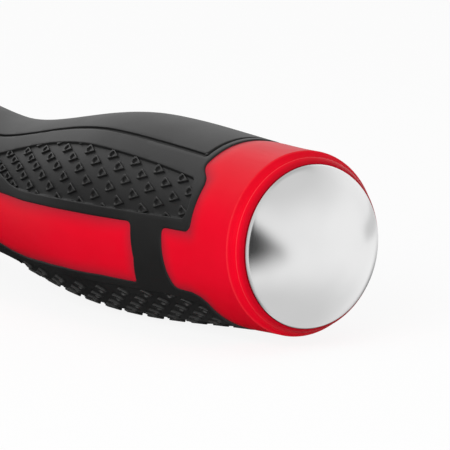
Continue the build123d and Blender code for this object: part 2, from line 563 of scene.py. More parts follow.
class Wire:
    """A shader socket that takes part in Python arithmetic."""

    def __init__(self, recipe: "Recipe", socket: bpy.types.NodeSocket) -> None:
        """Keeps the socket and the recipe that its nodes go into."""
        self.recipe, self.socket = recipe, socket

    def _maths(self, operation: str, *values: "Wire | float") -> "Wire":
        """Adds one Math node and returns its result."""
        return self.recipe.node("ShaderNodeMath", {"operation": operation}, dict(enumerate(values)))

    def __add__(self, other: "Wire | float") -> "Wire":
        """Sum."""
        return self._maths("ADD", self, other)

    def __radd__(self, other: float) -> "Wire":
        """Sum with a number in front."""
        return self._maths("ADD", other, self)

    def __sub__(self, other: "Wire | float") -> "Wire":
        """Difference."""
        return self._maths("SUBTRACT", self, other)

    def __rsub__(self, other: float) -> "Wire":
        """Difference with a number in front."""
        return self._maths("SUBTRACT", other, self)

    def __mul__(self, other: "Wire | float") -> "Wire":
        """Product."""
        return self._maths("MULTIPLY", self, other)

    def __rmul__(self, other: float) -> "Wire":
        """Product with a number in front."""
        return self._maths("MULTIPLY", other, self)

    def most(self, other: "Wire | float") -> "Wire":
        """The greater of two values."""
        return self._maths("MAXIMUM", self, other)

    def held(self) -> "Wire":
        """The value kept between 0 and 1."""
        return self._maths("MINIMUM", self.most(0.0), 1.0)


class Recipe:
    """The node tree of one finish or of the surroundings."""

    def __init__(self, owner: bpy.types.ID) -> None:
        """Empties the node tree of a new material or world.

        Args:
            owner: the material or world.
        """
        self.owner = owner
        owner.use_nodes = True
        self.tree = owner.node_tree
        self.tree.nodes.clear()

    @classmethod
    def of_material(cls, name: str) -> "Recipe":
        """The recipe of a new material."""
        return cls(bpy.data.materials.new(name))

    def node(self, kind: str, settings: dict, sockets: dict, output: str | int = 0) -> Wire:
        """Adds a node.

        Args:
            kind: the node's type.
            settings: its properties, set first.
            sockets: values or wires by the socket's name or number.
            output: name or number of the socket that is returned.

        Returns:
            The wire of that output.
        """
        made = self.tree.nodes.new(kind)
        for name, value in settings.items():
            setattr(made, name, value)
        for name, value in sockets.items():
            if isinstance(value, Wire):
                self.tree.links.new(value.socket, made.inputs[name])
            else:
                made.inputs[name].default_value = value
        return Wire(self, made.outputs[output])

    def vector_maths(self, operation: str, *values: Wire | Sequence[float], output: str = "Vector") -> Wire:
        """Adds one Vector Math node and returns its result."""
        return self.node("ShaderNodeVectorMath", {"operation": operation}, dict(enumerate(values)), output)

    def place(self, scale: Triple = (1, 1, 1), centre: Triple = (0, 0, 0)) -> Wire:
        """Object coordinates in mm.

        Args:
            scale: stretches them along each axis.
            centre: where they start, in mm in the tool's frame.

        Returns:
            The coordinates.
        """
        seen = self.node("ShaderNodeTexCoord", {}, {}, "Object")
        moved = self.vector_maths("SUBTRACT", seen, [part * MM for part in centre])
        return self.vector_maths("MULTIPLY", moved, [part / MM for part in scale])

    def split(self, vector: Wire) -> list[Wire]:
        """The three parts of a vector."""
        first = self.node("ShaderNodeSeparateXYZ", {}, {0: vector})
        return [Wire(self, part) for part in first.socket.node.outputs]

    def noise(self, place: Wire, scale: float, detail: float = 2.0, roughness: float = 0.5) -> Wire:
        """Smooth noise from 0 to 1 at a number of waves per mm."""
        sockets = {"Vector": place, "Scale": scale, "Detail": detail, "Roughness": roughness}
        return self.node("ShaderNodeTexNoise", {}, sockets)

    def between(self, wire: Wire, low: float, high: float) -> Wire:
        """How far a value has come from one limit to another, eased from 0 to 1."""
        sockets = {"Value": wire, "From Min": low, "From Max": high}
        return self.node("ShaderNodeMapRange", {"interpolation_type": "SMOOTHSTEP"}, sockets)

    def painted_light_marks(self) -> Wire:
        """The mesh's painted-light marks, which say where painted highlight or painted edge sheen goes."""
        return self.node("ShaderNodeAttribute", {"attribute_name": PAINTED_LIGHT_MARK}, {}, "Fac")

    def blend(self, share: Wire, first: Wire | Colour, second: Wire | Colour) -> Wire:
        """Mixes two colours by a share."""
        return self.node("ShaderNodeMix", {"data_type": "RGBA"}, {0: share, 6: first, 7: second}, 2)

    def bump(self, height: Wire, depth: float, strength: float) -> Wire:
        """Surface normal of a height from 0 to 1 that stands for a depth in mm."""
        sockets = {"Height": height, "Distance": depth * MM, "Strength": strength}
        return self.node("ShaderNodeBump", {}, sockets, "Normal")

    def surface(self, **sockets: Wire | float | Colour) -> bpy.types.Material:
        """Closes the recipe with a Principled shader.

        Args:
            sockets: values or wires by the shader's socket name, with _ for a space.

        Returns:
            The finished material.
        """
        named = {name.replace("_", " "): value for name, value in sockets.items()}
        self.close(self.node("ShaderNodeBsdfPrincipled", {}, named))
        return self.owner

    def close(self, shader: Wire, output: str = "ShaderNodeOutputMaterial") -> None:
        """Links a shader to the tree's output, which is added."""
        self.tree.links.new(shader.socket, self.tree.nodes.new(output).inputs["Surface"])


@dataclass(frozen=True)
class RubberFinish:
    """Matt black overmould with a fine spark-eroded grain, and a painted highlight on the grip scales'
    upward-facing rims.
    """

    fresh: Colour = (0.0095, 0.0095, 0.0096, 1.0)
    dusty: Colour = (0.015, 0.015, 0.0148, 1.0)
    # painted highlight colour of the grip scales' upward-facing rims
    painted_highlight: Colour = (0.075, 0.075, 0.074, 1.0)
    roughness: float = 0.52
    specular: float = 0.28
    grain_depth: float = 0.01

    def make(self) -> bpy.types.Material:
        """Builds the material.

        Returns:
            The finished material.
        """
        recipe = Recipe.of_material("black_rubber_overmould")
        place = recipe.place()
        broad = recipe.noise(place, scale=0.09, detail=4.0)
        grain = recipe.noise(place, scale=4.2, detail=3.0, roughness=0.6)
        bloom = recipe.between(broad, 0.35, 0.7) * 0.6 + recipe.between(grain, 0.4, 0.75) * 0.25
        # painted highlight: the scales' upward-facing rims are lightened as if lit from above
        rim_highlight = recipe.painted_light_marks() * (0.7 + broad * 0.5)
        body = recipe.blend(bloom.held(), self.fresh, self.dusty)
        return recipe.surface(
            Base_Color=recipe.blend(rim_highlight.held(), body, self.painted_highlight),
            Roughness=self.roughness + broad * 0.12 - grain * 0.06,
            Specular_IOR_Level=self.specular,
            Normal=recipe.bump(grain, self.grain_depth, strength=0.8),
        )


@dataclass(frozen=True)
class RedPlasticFinish:
    """Satin red moulded core, with a painted highlight on the lip's crests, painted shade in the seam round
    the cap and a duller painted sheen near the pads' edges.
    """

    colour: Colour = (0.78, 0.0003, 0.017, 1.0)
    deep: Colour = (0.72, 0.0003, 0.014, 1.0)
    # painted sheen: a duller red near the pads' edges, for light reflected at their crowned edges
    painted_edge_sheen: Colour = (0.43, 0.012, 0.028, 1.0)
    # painted highlight colour along the lip's crests
    painted_highlight: Colour = (0.84, 0.05, 0.06, 1.0)
    # painted shade colour in the seam next to the cap
    painted_seam_shade: Colour = (0.5, 0.0003, 0.011, 1.0)
    crests: Pairs = ((1.55, 1.0), (3.07, 0.45))
    crest_fade: Pair = (0.2, 0.05)
    # stations over which the painted seam shade fades in towards the cap, in mm
    seam_shade_band: Pair = (1.35, 0.4)
    roughness: float = 0.34
    specular: float = 0.06
    grain_depth: float = 0.006

    def make(self) -> bpy.types.Material:
        """Builds the material.

        Returns:
            The finished material.
        """
        recipe = Recipe.of_material("red_plastic_core")
        flow = recipe.noise(recipe.place((0.35, 1, 1)), scale=0.11, detail=3.0)
        grain = recipe.noise(recipe.place(), scale=3.0, detail=3.0, roughness=0.55)
        # noise that varies the painted crest highlight and the roughness
        patch_noise = recipe.noise(recipe.place((0.25, 1, 1)), scale=1.1, detail=3.0)
        edge = recipe.painted_light_marks()
        station = 0 - recipe.split(recipe.place(centre=BUTT_CENTRE))[0]
        # painted shade: darker towards the cap, where the cap shades the lip
        seam_shade_band = recipe.between(station, *self.seam_shade_band) * (0.8 + flow * 0.3)
        body = recipe.blend(recipe.between(flow, 0.3, 0.72), self.colour, self.deep)
        body = recipe.blend(seam_shade_band.held(), body, self.painted_seam_shade)
        # painted highlight along the lip's two crests
        outer, inner = self.crest_fade
        for crest, share in self.crests:
            line = recipe.between(station, crest - outer, crest - inner)
            line *= recipe.between(station, crest + outer, crest + inner)
            body = recipe.blend((line * (0.3 + patch_noise * 0.8) * share).held(), body, self.painted_highlight)
        return recipe.surface(
            # painted sheen: duller red near the pads' edges
            Base_Color=recipe.blend((edge * edge * (0.75 + flow * 0.5)).held(), body, self.painted_edge_sheen),
            Roughness=self.roughness + flow * 0.08 + recipe.between(patch_noise, 0.5, 0.8) * 0.05,
            Specular_IOR_Level=self.specular,
            Normal=recipe.bump(grain, self.grain_depth, strength=0.5),
        )


@dataclass(frozen=True)
class StrikeSteelFinish:
    """Bright turned and polished steel, with faint rings and handling marks."""

    bright: Colour = (0.82, 0.82, 0.82, 1.0)
    dull: Colour = (0.77, 0.77, 0.772, 1.0)
    roughness: float = 0.17
    ring_depth: float = 0.0012

    def make(self) -> bpy.types.Material:
        """Builds the material.

        Returns:
            The finished material.
        """
        recipe = Recipe.of_material("strike_cap_steel")
        place = recipe.place(centre=BUTT_CENTRE)
        reach = recipe.vector_maths("LENGTH", recipe.place((0, 1, 1), BUTT_CENTRE), output="Value")
        outwards = recipe.node("ShaderNodeCombineXYZ", {}, {0: reach})
        rings = recipe.noise(outwards, scale=3.6, detail=3.0, roughness=0.7)
        smear = recipe.noise(place, scale=0.07, detail=2.0)
        marks = recipe.between(smear, 0.3, 0.8) * 0.05
        specks = recipe.between(recipe.noise(place, scale=1.9, detail=2.0), 0.6, 0.8) * 0.02
        return recipe.surface(
            Base_Color=recipe.blend(recipe.between(smear, 0.35, 0.75), self.bright, self.dull),
            Metallic=1.0,
            Roughness=self.roughness + marks + specks,
            Normal=recipe.bump(rings, self.ring_depth, strength=0.6),
        )


@dataclass(frozen=True)
class GroundSteelFinish:
    """Ground tool steel, with fine lines along or across the blade and darker pits."""

    name: str = "ground_blade_steel"
    bright: Colour = (0.58, 0.585, 0.59, 1.0)
    dull: Colour = (0.40, 0.41, 0.42, 1.0)
    roughness: float = 0.27
    stretch: Triple = (0.03, 1.0, 1.0)
    line_depth: float = 0.004

    def make(self) -> bpy.types.Material:
        """Builds the material.

        Returns:
            The finished material.
        """
        recipe = Recipe.of_material(self.name)
        lines = recipe.noise(recipe.place(self.stretch), scale=7.0, detail=3.0, roughness=0.65)
        broad = recipe.noise(recipe.place((0.4, 1, 1)), scale=0.12, detail=4.0)
        pits = recipe.between(recipe.noise(recipe.place(), scale=1.4, detail=4.0, roughness=0.7), 0.66, 0.78)
        shade = (recipe.between(broad, 0.3, 0.75) * 0.6 + lines * 0.25 + pits * 0.35).held()
        return recipe.surface(
            Base_Color=recipe.blend(shade, self.bright, self.dull),
            Metallic=1.0,
            Roughness=self.roughness + lines * 0.1 + pits * 0.15,
            Normal=recipe.bump(lines * 0.8 - pits * 0.6, self.line_depth, strength=0.7),
        )


# Edges of the hard zones and panels, as station, angle and rounding.
COLLAR_EDGE = outline(
    (17.8, 100.0), (17.8, 50.5, 1.3), (14.4, 41.0, 1.3), (14.4, 7.2, 1.5), (22.2, 7.2, 1.1),
    (22.2, -8.0), (22.0, -20.0), (21.4, -31.2, 1.4), (17.0, -33.0), (14.2, -37.0, 1.6), (13.9, -52.0),
    (13.6, -100.0),
)
# The collar's edge, closed past the butt end.
COLLAR_ZONE = (Corner(BEFORE_BUTT, TOOL_REACH), *COLLAR_EDGE, Corner(BEFORE_BUTT, -TOOL_REACH))
WINDOW_EDGE = outline(
    (31.0, 7.2, 1.1), (42.0, 6.5), (56.0, 6.3), (68.0, 6.6), (77.0, 8.2), (86.0, 9.4),
    (96.5, 9.6, 1.2), (93.5, -20.0, 1.0), (87.5, -35.5, 1.0), (80.0, -39.5), (73.0, -37.8),
    (65.0, -33.4), (56.0, -30.8), (43.0, -29.6), (32.3, -30.8, 0.9), (30.7, -14.0),
)
SIDE_PANEL_EDGE = outline(
    (16.4, 30.5), (18.0, 40.6, 0.5), (23.0, 42.6), (29.0, 44.3), (36.0, 45.7), (44.0, 46.9),
    (52.0, 47.9), (59.0, 48.2), (66.0, 47.6), (72.0, 46.0), (78.0, 42.6), (84.0, 37.6),
    (88.5, 32.6, 0.7), (86.6, 28.6), (83.0, 25.4), (78.5, 20.6), (74.5, 15.8), (69.5, 13.2),
    (62.0, 12.6), (52.0, 12.5), (40.0, 12.9), (28.0, 13.6), (16.6, 15.0, 0.5), (16.0, 22.0),
)
THUMB_PANEL_EDGE = outline(
    (19.3, 57.4, 0.7), (27.0, 58.3), (36.0, 58.9), (46.0, 59.6), (56.0, 60.3), (63.0, 60.6),
    (70.0, 60.1), (78.0, 57.8), (87.0, 54.2), (96.0, 54.0), (105.0, 57.0), (112.0, 60.0),
    (118.6, 61.5, 0.8),
)
UNDER_PANEL_EDGE = outline(
    (16.0, -42.0, 0.6), (24.0, -37.0, 0.8), (40.0, -35.0), (57.0, -36.4), (66.0, -39.6), (73.0, -44.0),
    (78.5, -46.6), (82.6, -53.0, 1.0), (84.6, -70.0), (85.0, -90.0),
)


@dataclass
class RubberGrip:
    """The black overmould: a sleeve with windows, sunk grip panels, a thumb panel groove and grip scales.

    Lengths are in mm, angles in degrees. A drift is pairs of station and the angle that a row of scales
    is off there. A scale is outlined in station and turn from its middle.
    """

    start: float = 2.0
    thickness: float = 2.4
    nose_station: float = 127.0
    edge_round: float = 0.3
    panel_round: float = 0.24
    groove_round: float = 0.16
    side_panel_depth: float = 0.52
    under_panel_depth: float = 0.45
    groove_width: float = 0.8
    groove_depth: float = 0.5
    score_start: float = 12.0
    score_step: float = 1.0
    side_rows: tuple[float, ...] = (51.0, 44.8, 38.5, 32.3, 25.7, 19.2, 12.7)
    side_shift: float = 0.3
    side_drift: Pairs = (
        (16.0, -6.9), (21.4, -5.7), (25.0, -4.5), (30.0, -3.3), (36.0, -1.95), (40.0, -1.2), (46.0, -0.4),
        (54.0, -0.3), (60.0, -0.85), (64.0, -1.4), (67.0, -2.1), (71.0, -2.8), (74.0, -3.6), (80.0, -6.0),
        (86.0, -9.0),
    )
    under_rows: tuple[float, ...] = (-39.6, -45.9, -52.2, -58.6, -65.0, -71.4, -77.6, -83.8)
    under_drift: Pairs = (
        (14.0, 4.0), (17.7, 3.6), (21.4, 3.0), (25.0, 2.1), (28.7, 0.8), (32.2, 0.0), (36.0, -0.9),
        (40.0, -1.5), (43.5, -2.0), (47.5, -3.1), (52.3, -4.4), (56.4, -5.2), (62.0, -6.6), (70.0, -9.0),
        (90.0, -14.0),
    )
    column_stations: tuple[float, ...] = (
        3.15, 6.8, 10.45, 14.1, 17.75, 21.4, 25.05, 28.8, 32.35, 36.05, 39.6, 43.3, 46.95, 50.8, 54.65,
        58.65, 62.75, 66.65, 70.3, 73.5, 76.8, 80.1, 83.4, 86.7, 90.0,
    )
    keel_row: Pairs = (
        (11.6, -77.5), (17.8, -79.0), (24.1, -79.5), (30.7, -79.4), (37.0, -78.3), (43.0, -76.7),
        (48.6, -74.0), (54.0, -71.0), (59.6, -67.7), (65.3, -65.0), (71.6, -62.5), (78.5, -61.5),
        (85.5, -60.0),
    )
    keel_stretch: float = 1.35
    keel_step: float = 7.0
    keel_rows: int = 4
    keel_limit: float = -84.0
    keel_overlap: float = 0.6
    foot_depth: float = 0.12
    clip_below: float = 1.0
    clip_top: float = 3.0
    side_scale_height: float = 0.42
    under_scale_height: float = 0.45
    scale_outline: Pairs = (
        (0.0, -1.08), (0.38, -0.88), (0.62, -0.48), (0.7, 0.0), (0.62, 0.48), (0.38, 0.88),
        (0.0, 1.08), (-0.8, 0.65), (-1.55, 0.25), (-2.3, -0.15), (-1.55, -0.46), (-0.8, -0.77),
    )
    dimple_place: Pair = (-0.48, 0.02)
    dimple_radius: float = 0.68
    dimple_taper: float = 0.2
    dimple_depth: float = 0.38
    dimple_lean: float = 0.14
    dimple_turn: float = 0.2
    ring_inset: float = 0.05
    ring_rise: float = 0.01
    scale_round: float = 0.06
    rim_width: float = 0.13
    rim_rise: float = 0.003
    rim_tolerance: float = 0.0015
    # which rims take the painted highlight: how far their normal leans upwards, and the share of the ring
    # below the top
    highlight_lean: Pair = (0.15, 0.45)
    highlight_below: float = 0.5

    def build(self, finish: bpy.types.Material) -> None:
        """Builds and dresses the sleeve and its grip scales.

        Args:
            finish: the rubber's material.
        """
        hand_over(self.sleeve(), Slot.GRIP, finish, "rubber_grip")
        for side in Side:
            hand_over(self.side_scales(side), Slot.GRIP, finish)
        hand_over(self.under_scales(), Slot.GRIP, finish)

    def sleeve(self) -> bpy.types.Object:
        """Cuts, sinks and softens the sleeve as a flat half, then mirrors and wraps it.

        Returns:
            The sleeve, in place.
        """
        whole = strip(self.start, self.nose_station, SHEET_REACH)
        sheet = Bench.add_plate("rubber_grip_sleeve", whole, -self.thickness, 0.0)
        for edge in (COLLAR_ZONE, WINDOW_EDGE):
            Bench.work(sheet, Bench.add_plate("hard_zone", edge, -PAST, PAST), Cut.AWAY)
        Bench.soften(sheet, self.edge_round, segments=3, angle=40.0)
        side_panel = Bench.add_plate("side_panel", SIDE_PANEL_EDGE, -self.side_panel_depth, PAST)
        Bench.work(sheet, side_panel, Cut.AWAY)
        Bench.work(sheet, self.under_panel(-self.under_panel_depth, PAST), Cut.AWAY)
        Bench.soften(sheet, self.panel_round, segments=3, angle=50.0)
        Bench.work(sheet, self.thumb_groove(), Cut.AWAY)
        Bench.soften(sheet, self.groove_round, segments=2, angle=60.0)
        Sheet.score(sheet, self.score_start, self.nose_station, self.score_step)
        Sheet.close(sheet)
        return sheet

    @staticmethod
    def under_panel(low: float, high: float) -> bpy.types.Object:
        """The underside panel as a plate between two heights that runs on past the bottom line."""
        return Bench.add_plate("under_panel", folded(UNDER_PANEL_EDGE, BOTTOM), low, high)

    def thumb_groove(self) -> bpy.types.Object:
        """A thin closed band along the thumb panel's outline."""
        edge = folded(THUMB_PANEL_EDGE, TOP)
        return Bench.add_plate("thumb_groove", edge, -self.groove_depth, PAST, self.groove_width)

    def grip_scale(self, height: float) -> bpy.types.Object:
        """One grip scale: a small plate, round at the back and pointed at the front, with a round dimple.

        The dimple's two rings are first marked by a small rise each and then laid in their circles.

        Args:
            height: how far it stands over its panel, in mm.

        Returns:
            The scale, with its foot at height 0.
        """
        top = height + self.foot_depth
        scale = Bench.add_outline("grip_scale", [Vector((x, y, 0.0)) for x, y in self.scale_outline])
        Bench.edit(scale)
        Bench.pick_all()
        bpy.ops.mesh.extrude_region_move(TRANSFORM_OT_translate={"value": (0, 0, top - self.scale_round)})
        for inset, rise in (
            (self.scale_round, self.scale_round),
            (self.rim_width, self.rim_rise),
            (self.ring_inset, self.ring_rise - self.rim_rise),
            (self.ring_inset, self.ring_rise),
        ):
            bpy.ops.mesh.inset(thickness=inset, depth=rise)
        Bench.face_out()
        Bench.clear()
        rim = (self.dimple_radius, 0.0, 0.0)
        floor = (self.dimple_radius - self.dimple_taper, self.dimple_depth, self.dimple_lean)
        for step, (reach, depth, lean) in enumerate((rim, floor), 1):
            centre = Vector((self.dimple_place[0] + lean, self.dimple_place[1], 0.0))
            ring = [v for v in scale.data.vertices if round((v.co.z - top) / self.ring_rise) == step]
            ring.sort(key=lambda vertex: math.atan2(vertex.co.y - centre.y, vertex.co.x - centre.x))
            for place, vertex in enumerate(ring):
                turn = math.tau * (place / len(ring) - 0.5) + self.dimple_turn
                vertex.co = centre + Vector((reach * math.cos(turn), reach * math.sin(turn), top - depth))
        return scale

    @staticmethod
    def copies(scale: bpy.types.Object, places: Sequence[Matrix], name: str) -> bpy.types.Object:
        """Copies the scale to its places on the flat sheet, joins the copies and removes the first.

        Args:
            scale: the scale that was modelled once.
            places: matrices that carry the scale to where each copy stands.
            name: the joined piece's name.

        Returns:
            The flat set of scales.
        """
        made = []
        for place in places:
            copy = scale.copy()
            copy.data = scale.data.copy()
            copy.data.transform(place)
            bpy.context.scene.collection.objects.link(copy)
            made.append(copy)
        Bench.clear()
        for copy in made:
            copy.select_set(True)
        bpy.context.view_layer.objects.active = made[0]
        bpy.ops.object.join()
        made[0].name = name
        Bench.clear()
        bpy.data.objects.remove(scale)
        return made[0]

    def places(self, rows: Sequence[float], drift: Pairs, foot: float) -> list[Vector]:
        """Where the scales of a panel stand, in rows that drift, each row half a step off the last.

        Args:
            rows: the rows' angles.
            drift: pairs of station and the angle that every row is off there.
            foot: height of the scales' feet over the handle's skin, in mm.

        Returns:
            The places on the flat sheet.
        """
        stations, angles = zip(*drift)
        placed = []
        for row, angle in enumerate(rows):
            for station in self.column_stations[row % 2 :: 2]:
                placed.append(SKIN.flat(station, angle + float(np.interp(station, stations, angles)), foot))
        return placed

    def keel_places(self, foot: float) -> list[Matrix]:
        """Where the scales nearest the bottom line stand, as a long row and the shorter rows under it.

        Args:
            foot: height of the scales' feet over the handle's skin, in mm.

        Returns:
            Matrices that stretch a scale and carry it to its place on the flat sheet.
        """
        placed = []
        stretch = Matrix.Diagonal((self.keel_stretch, 1.0, 1.0, 1.0))
        pairs = zip(self.keel_row, self.keel_row[1:])
        between = [((one[0] + other[0]) / 2, (one[1] + other[1]) / 2) for one, other in pairs]
        for step in range(self.keel_rows):
            for station, angle in (self.keel_row, between)[step % 2]:
                lower = angle - step * self.keel_step
                if step == 0 or lower > self.keel_limit:
                    placed.append(Matrix.Translation(SKIN.flat(station, lower, foot)) @ stretch)
        return placed

    def rim_highlight(self, scales: bpy.types.Object, top: float) -> None:
        """Marks the scales' upward-facing rims for a painted highlight, standing in for the light that falls
        on them from above.

        Args:
            scales: the flat set of scales.
            top: height of their tops, in mm.
        """
        spots = Bench.vertices(scales)
        beyond = np.where(spots[:, 1] < SKIN.flat(0, BOTTOM).y, -1.0, 1.0)
        lean = Bench.vertices(scales, "normal")[:, 1] * beyond
        over = spots[:, 2] - top
        rim = np.where(np.abs(over + self.scale_round) < self.rim_tolerance, self.highlight_below, 0.0)
        rim = np.where(np.abs(over) < self.rim_tolerance, 1.0, rim)
        start, full = self.highlight_lean
        rim *= np.clip((lean - start) / (full - start), 0.0, 1.0)
        Bench.marks(scales).data.foreach_set("value", rim)

    def side_scales(self, side: Side) -> bpy.types.Object:
        """Models the scales of one side panel, clipped at its border.

        Args:
            side: the handle's side that they stand on.

        Returns:
            The joined scales, in place.
        """
        foot = -self.side_panel_depth - self.foot_depth
        shift = Vector((self.side_shift, 0, 0))
        spots = self.places(self.side_rows, self.side_drift, foot)
        places = [Matrix.Translation(spot + shift) for spot in spots]
        scales = self.copies(self.grip_scale(self.side_scale_height), places, f"grip_scales_{side.value}")
        border = Bench.add_plate("side_panel", SIDE_PANEL_EDGE, foot - self.clip_below, self.clip_top)
        Bench.work(scales, border, Cut.SHARED)
        if side is Side.FAR:
            flipped = Bench.vertices(scales) * (1, -1, 1)
            scales.data.vertices.foreach_set("co", flipped.ravel())
        self.rim_highlight(scales, self.side_scale_height - self.side_panel_depth)
        Bench.wrap(scales)
        return scales

    def under_scales(self) -> bpy.types.Object:
        """Models the scales of the underside, clipped at its border, the far half a mirror of the near.

        Returns:
            The joined scales, in place.
        """
        foot = -self.under_panel_depth - self.foot_depth
        bottom = SKIN.flat(0, BOTTOM).y
        stations, angles = zip(*self.keel_row)
        rows = []
        for spot in self.places(self.under_rows, self.under_drift, foot):
            keel_angle = float(np.interp(spot.x, stations, angles))
            if spot.y > SKIN.flat(0, keel_angle + self.keel_step - self.keel_overlap).y:
                rows.append(Matrix.Translation(spot))
        near = rows + self.keel_places(foot)
        middle = [Matrix.Translation((station, bottom, foot)) for station in stations]
        far = [Matrix.Translation((0, 2 * (bottom - place.to_translation().y), 0)) @ place for place in near]
        scale = self.grip_scale(self.under_scale_height)
        scales = self.copies(scale, near + middle + far, "grip_scales_under")
        Bench.work(scales, self.under_panel(foot - self.clip_below, self.clip_top), Cut.SHARED)
        self.rim_highlight(scales, self.under_scale_height - self.under_panel_depth)
        Bench.wrap(scales)
        return scales


@dataclass
class HandleCore:
    """The red hard core: butt collar with its lip, window pads and nose, standing up from a sunk body.

    Lengths are in mm.
    """

    sheet_ends: Pair = (-2.0, 140.0)
    rim_station: float = 0.3
    nose_ring_station: float = 127.0
    nose_station: float = 134.0
    nose_tool_end: float = 150.0
    body_depth: float = 1.6
    wall: float = 4.0
    pad_root: float = 0.5
    pocket_end: float = 5.2
    pocket_radius: float = 14.92
    pocket_depth: float = 8.0
    crown_width: float = 4.5
    crown_drop: float = 0.28
    crown_power: float = 2.2
    # width over which the painted edge sheen fades in from a pad's edge, in mm
    sheen_fade: float = 3.4
    score_step: float = 0.9

    def build(self, finish: bpy.types.Material) -> None:
        """Builds and dresses the core.

        Args:
            finish: the core's material.
        """
        whole = strip(*self.sheet_ends, SHEET_REACH)
        sheet = Bench.add_plate("red_core", whole, -self.wall, -self.body_depth)
        nose = strip(self.nose_ring_station, self.nose_tool_end, TOOL_REACH)
        for name, edge in (("collar_pad", COLLAR_ZONE), ("window_pad", WINDOW_EDGE), ("nose_pad", nose)):
            Bench.work(sheet, Bench.add_plate(name, edge, -self.wall + self.pad_root, 0.0), Cut.JOINED)
        Bench.trim(sheet, SKIN.flat(self.rim_station, 0), Vector((-1, 0, 0)), closed=True)
        Bench.trim(sheet, SKIN.flat(self.nose_station, 0), Vector((1, 0, 0)), closed=True)
        pocket = strip(BEFORE_BUTT, self.pocket_end, TOOL_REACH)
        wall_height = self.pocket_radius - SKIN.top_line[0][1]
        Bench.work(sheet, Bench.add_plate("cap_pocket", pocket, -self.pocket_depth, wall_height), Cut.AWAY)
        Bench.score(sheet, 0, [station for station, _ in SKIN.lip_line[1:]])
        Sheet.score(sheet, self.rim_station, self.nose_station, self.score_step)
        for edge in (COLLAR_EDGE, (*WINDOW_EDGE, WINDOW_EDGE[0]), (nose[-1], nose[0])):
            self.crown(sheet, edge)
        Sheet.close(sheet)
        hand_over(sheet, Slot.CORE, finish, "handle_core")

    def crown(self, sheet: bpy.types.Object, edge: Sequence[Corner]) -> None:
        """Lets the top of a pad fall away softly towards its edge, and marks the edge for a painted sheen.

        Args:
            sheet: the flat core.
            edge: the corners of the edge, in order.
        """
        places = Bench.vertices(sheet)
        flat = places[:, :2]
        line = np.array([SKIN.flat(corner.station, corner.angle)[:2] for corner in edge])
        nearest = np.full(len(places), np.inf)
        for start, end in zip(line, line[1:]):
            way = end - start
            along = np.clip((flat - start) @ way / np.dot(way, way), 0, 1)
            nearest = np.minimum(nearest, np.linalg.norm(flat - start - along[:, None] * way, axis=1))
        fall = self.crown_drop * np.clip(1 - nearest / self.crown_width, 0, 1) ** self.crown_power
        places[:, 2] -= np.where(places[:, 2] > -self.body_depth / 2, fall, 0)
        sheet.data.vertices.foreach_set("co", places.ravel())
        # marks for the painted edge sheen
        marks = Bench.marks(sheet)
        known = np.zeros(len(places))
        marks.data.foreach_get("value", known)
        marks.data.foreach_set("value", np.maximum(known, np.clip(1 - nearest / self.sheen_fade, 0, 1)))


@dataclass
class StrikeCap:
    """The domed steel cap with its chamfered edge, standing in the collar's lip, and the boss on its back.

    Lengths are in mm. The corners are pairs of station and radius off the chamfer's two ends.
    """

    radius: float = 14.85
    dome_height: float = 6.35
    dome_points: int = 36
    dome_gap: float = 0.004
    rim_rise: float = 0.55
    rim_slope: float = 0.32
    inner_corner: Pair = (0.08, 0.05)
    outer_corners: Pairs = ((-0.04, -0.03), (0.06, 0.0))
    skirt_end: float = 5.2
    boss_radius: float = 9.0
    boss_length: float = 14.0
    facets: int = 160

    def build(self, finish: bpy.types.Material) -> None:
        """Builds and dresses the cap.

        Args:
            finish: the cap's material.
        """
        ring = self.radius - self.rim_slope
        sphere = (ring**2 + self.dome_height**2) / (2 * self.dome_height)
        middle = sphere - self.dome_height - self.rim_rise
        turns = np.linspace(0, math.asin(ring / sphere) - self.dome_gap, self.dome_points)
        boss_end = self.skirt_end + self.boss_length
        profile = [(middle - sphere * math.cos(turn), sphere * math.sin(turn)) for turn in turns]
        profile.append((self.inner_corner[0] - self.rim_rise, ring + self.inner_corner[1]))
        profile += [(station, self.radius + off) for station, off in self.outer_corners]
        profile += [(self.skirt_end, self.radius), (self.skirt_end, self.boss_radius)]
        profile += [(boss_end, self.boss_radius), (boss_end, 0.0)]
        cap = Bench.turn_on_lathe("strike_cap_turned", profile, self.facets, smooth=14.0)
        cap.data.transform(Matrix.Translation((0, 0, -SKIN.sag * MM)))
        hand_over(cap, Slot.CAP, finish, "strike_cap")


@dataclass
class Ferrule:
    """Steel ring at the handle's nose, with a rolled edge and two turned lines. Lengths are in mm."""

    start: float = 134.0
    length: float = 9.0
    radius: float = 12.9
    bore: float = 11.35
    edge_round: float = 0.7
    edge_points: int = 7
    chamfer: float = 0.1
    line_depth: float = 0.3
    line_reach: float = 0.3
    line_floor: float = 0.14
    line_stations: Pair = (2.4, 3.5)
    facets: int = 128

    def build(self, finish: bpy.types.Material) -> None:
        """Builds and dresses the ferrule.

        Args:
            finish: the ferrule's material.
        """
        end = self.start + self.length
        top, low = self.radius, self.radius - self.line_depth
        reach, floor = self.line_reach, self.line_floor
        groove = ((-reach, top), (-floor, low), (floor, low), (reach, top))
        profile = [(self.start, self.bore), (self.start, top - self.chamfer)]
        profile.append((self.start + self.chamfer, top))
        for line in self.line_stations:
            profile += [(self.start + line + along, radius) for along, radius in groove]
        for angle in np.radians(np.linspace(90, 0, self.edge_points)):
            back, down = 1 - math.cos(angle), 1 - math.sin(angle)
            profile.append((end - self.edge_round * back, top - self.edge_round * down))
        profile += [(end, self.bore), (self.start, self.bore)]
        ring = Bench.turn_on_lathe("ferrule_ring", profile, self.facets, smooth=25.0)
        hand_over(ring, Slot.FERRULE, finish, "ferrule")


